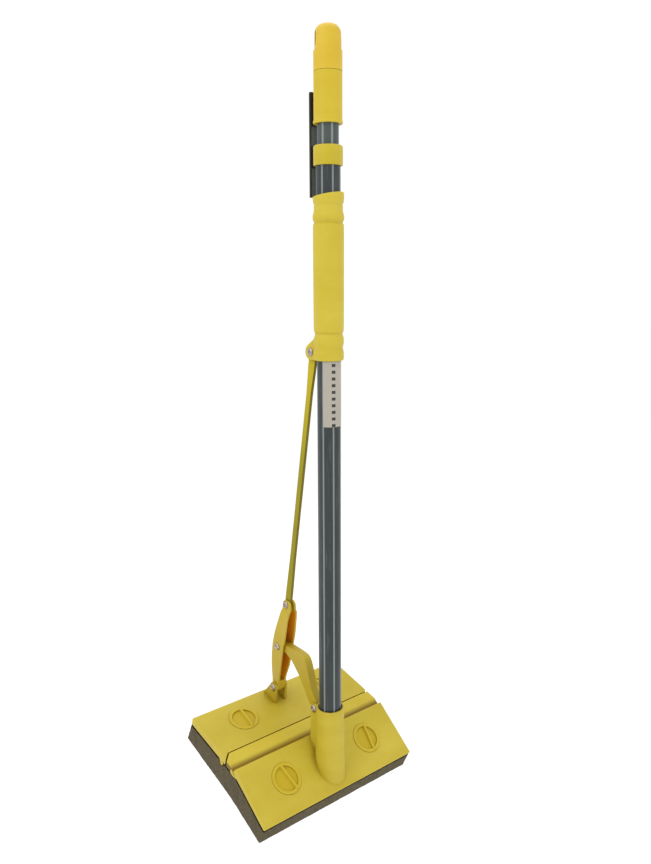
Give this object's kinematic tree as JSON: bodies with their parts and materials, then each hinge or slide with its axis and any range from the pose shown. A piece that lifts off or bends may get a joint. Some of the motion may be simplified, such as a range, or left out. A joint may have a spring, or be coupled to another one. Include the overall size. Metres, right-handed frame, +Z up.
{
  "type": "folding sponge mop with telescopic pole",
  "caption": "Telescopic pole with a folding sponge head that a sliding grip, push rod and lever squeeze shut; clip-on sponge held by quarter-turn knobs.",
  "frame": {"origin": "middle of the hanging slot in the top cap, on the pole's axis", "axes": "+Z up along the pole, away from the head; +X along the head; +Y to the lever side, the rear"},
  "size_m": [0.2198, 0.1549, 0.8344],
  "materials": {
    "tube_paint": "satin slate-grey paint with pale lengthwise stripes on a steel tube",
    "yellow_plastic": "moulded yellow polypropylene, slightly shiny",
    "olive_plastic": "moulded darker yellow plastic",
    "nylon": "natural nylon, guessed, hidden",
    "steel": "bright tubular rivets, pins and a screw",
    "sponge": "open-cell absorbent foam, grey-brown",
    "label": null
  },
  "bodies": {
    "main": {"outer_tube": "tube_paint", "tube_label": "label", "split_collet": "nylon", "socket_screw": "steel", "front_wing": "yellow_plastic", "front_backing_plate": "nylon", "front_sponge": "sponge", "arm_socket_rivet": "steel", "front_hinge_pin": "steel"},
    "upper_pole": {"inner_tube": "tube_paint", "guide_plug": "nylon", "end_grip": "yellow_plastic", "hang_cap": "yellow_plastic", "hanger_strip": "tube_paint", "hanger_rivet_upper": "steel", "hanger_rivet_lower": "steel"},
    "collar": {"lock_collar": "yellow_plastic"},
    "grip": {"slide_grip": "yellow_plastic", "grip_rivet": "steel"},
    "rod": {"push_rod": "olive_plastic"},
    "lever_body": {"lever": "olive_plastic", "rod_rivet_near": "steel", "rod_rivet_far": "steel", "arm_rivet_near": "steel", "arm_rivet_far": "steel"},
    "arm_body": {"arm": "yellow_plastic"},
    "strip": {"centre_strip": "yellow_plastic", "centre_sponge": "sponge", "rear_hinge_pin": "steel"},
    "rear": {"rear_wing": "yellow_plastic", "clevis_rivet": "steel", "rear_backing_plate": "nylon", "rear_sponge": "sponge"},
    "knob_front_left_body": {"knob_front_left": "yellow_plastic"},
    "knob_front_right_body": {"knob_front_right": "yellow_plastic"},
    "knob_rear_left_body": {"knob_rear_left": "yellow_plastic"},
    "knob_rear_right_body": {"knob_rear_right": "yellow_plastic"}
  },
  "joints": [
    {"name": "telescope", "type": "slide", "parent": "main", "child": "upper_pole", "axis": [0, 0, 1], "range_m": [0, 0.38]},
    {"name": "collar_twist", "type": "hinge", "parent": "main", "child": "collar", "pos_m": [0, 0, -0.111], "axis": [0, 0, 1], "range_deg": [0, 180]},
    {"name": "front_fold", "type": "hinge", "parent": "main", "child": "strip", "pos_m": [0, 0.03905, -0.762], "axis": [-1, 0, 0], "range_deg": [0, 42], "deforming": ["front_sponge", "centre_sponge", "rear_sponge"]},
    {"name": "rear_fold", "type": "hinge", "parent": "strip", "child": "rear", "pos_m": [0, 0.05874, -0.76066], "axis": [-1, 0, 0], "range_deg": [0, 63.05]},
    {"name": "lever_pivot", "type": "hinge", "parent": "rear", "child": "lever_body", "pos_m": [0, 0.097, -0.7206], "axis": [1, 0, 0], "range_deg": [0, 89.06]},
    {"name": "arm_pivot", "type": "hinge", "parent": "main", "child": "arm_body", "pos_m": [0, 0.0202, -0.716], "axis": [-1, 0, 0], "range_deg": [0, 72.2]},
    {"name": "grip_slide", "type": "slide", "parent": "main", "child": "grip", "axis": [0, 0, -1], "range_m": [0, 0.10305]},
    {"name": "rod_pivot", "type": "hinge", "parent": "grip", "child": "rod", "pos_m": [0, 0.0245, -0.3068], "axis": [1, 0, 0], "range_deg": [0, 3.5]},
    {"name": "knob_front_left_turn", "type": "hinge", "parent": "main", "child": "knob_front_left_body", "pos_m": [-0.0583, 0.00673, -0.77592], "axis": [0, -0.6423, 0.7665], "range_deg": [0, 90]},
    {"name": "knob_front_right_turn", "type": "hinge", "parent": "main", "child": "knob_front_right_body", "pos_m": [0.0638, 0.00749, -0.77528], "axis": [0, -0.6423, 0.7665], "range_deg": [0, 90]},
    {"name": "knob_rear_left_turn", "type": "hinge", "parent": "rear", "child": "knob_rear_left_body", "pos_m": [-0.0562, 0.09169, -0.74125], "axis": [0, -0.2541, 0.9672], "range_deg": [0, 90]},
    {"name": "knob_rear_right_turn", "type": "hinge", "parent": "rear", "child": "knob_rear_right_body", "pos_m": [0.061, 0.09169, -0.74125], "axis": [0, -0.2541, 0.9672], "range_deg": [0, 90]}
  ],
  "couplings": [
    {"joint": "rear_fold", "follows": "front_fold", "ratio": 1.5},
    {"joint": "lever_pivot", "follows": "front_fold", "ratio": 2.1193},
    {"joint": "arm_pivot", "follows": "front_fold", "ratio": 1.7179},
    {"joint": "grip_slide", "follows": "front_fold", "m_per_rad": 0.14045},
    {"joint": "rod_pivot", "follows": "front_fold", "ratio": 0.083062}
  ]
}
